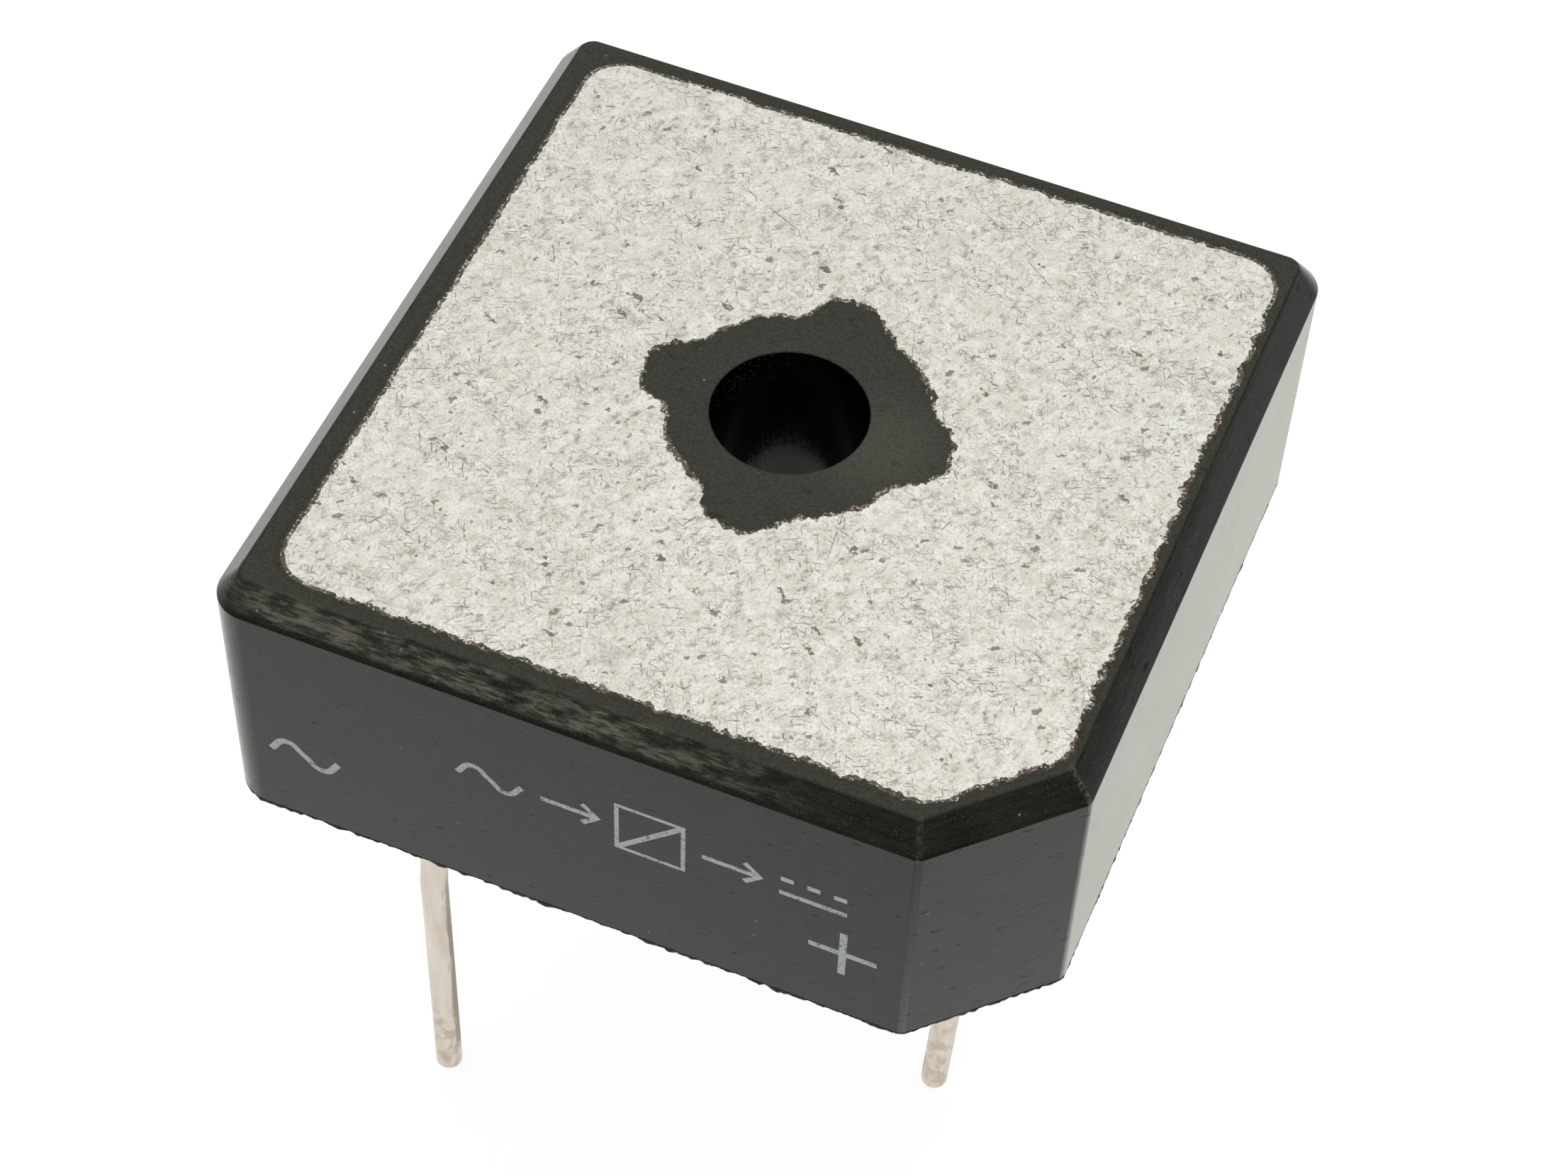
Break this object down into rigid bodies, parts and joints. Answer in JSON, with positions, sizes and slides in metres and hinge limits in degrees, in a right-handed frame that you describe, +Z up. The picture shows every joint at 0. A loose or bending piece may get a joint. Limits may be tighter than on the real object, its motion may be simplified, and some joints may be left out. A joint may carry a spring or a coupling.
{
  "type": "bridge rectifier",
  "caption": "Square moulded bridge rectifier standing on its wire leads, flat metal base plate up, with a screw hole through the middle and a chamfered corner that marks the positive lead.",
  "frame": {"origin": "on the axis of the screw hole at the level of the lead tips, which the part stands on", "axes": "+Z up along the screw hole, towards the metal base plate; +X and +Y along the sides of the body, with the chamfered positive corner at +X -Y"},
  "size_m": [0.0286, 0.0286, 0.0337],
  "materials": {
    "moulding": "black epoxy moulding compound, fine satin mould finish",
    "base_plate": "matt tumbled aluminium, mottled and finely scratched",
    "tinned_wire": "dull tinned copper with brown tarnish",
    "copper": "bare stamped copper",
    "silicon": "lapped silicon",
    "solder": "dull solder"
  },
  "bodies": {
    "root": {"body": "moulding", "base_plate": "base_plate", "plus_electrode": "copper", "minus_electrode": "copper", "ac_electrode_front": "copper", "ac_electrode_back": "copper", "front_die": "silicon", "right_die": "silicon", "back_die": "silicon", "left_die": "silicon", "front_die_solder": "solder", "right_die_solder": "solder", "back_die_solder": "solder", "left_die_solder": "solder", "plus_lead": "tinned_wire", "minus_lead": "tinned_wire", "ac_lead_front": "tinned_wire", "ac_lead_back": "tinned_wire", "plus_lead_solder": "solder", "minus_lead_solder": "solder", "ac_lead_front_solder": "solder", "ac_lead_back_solder": "solder"}
  },
  "joints": []
}
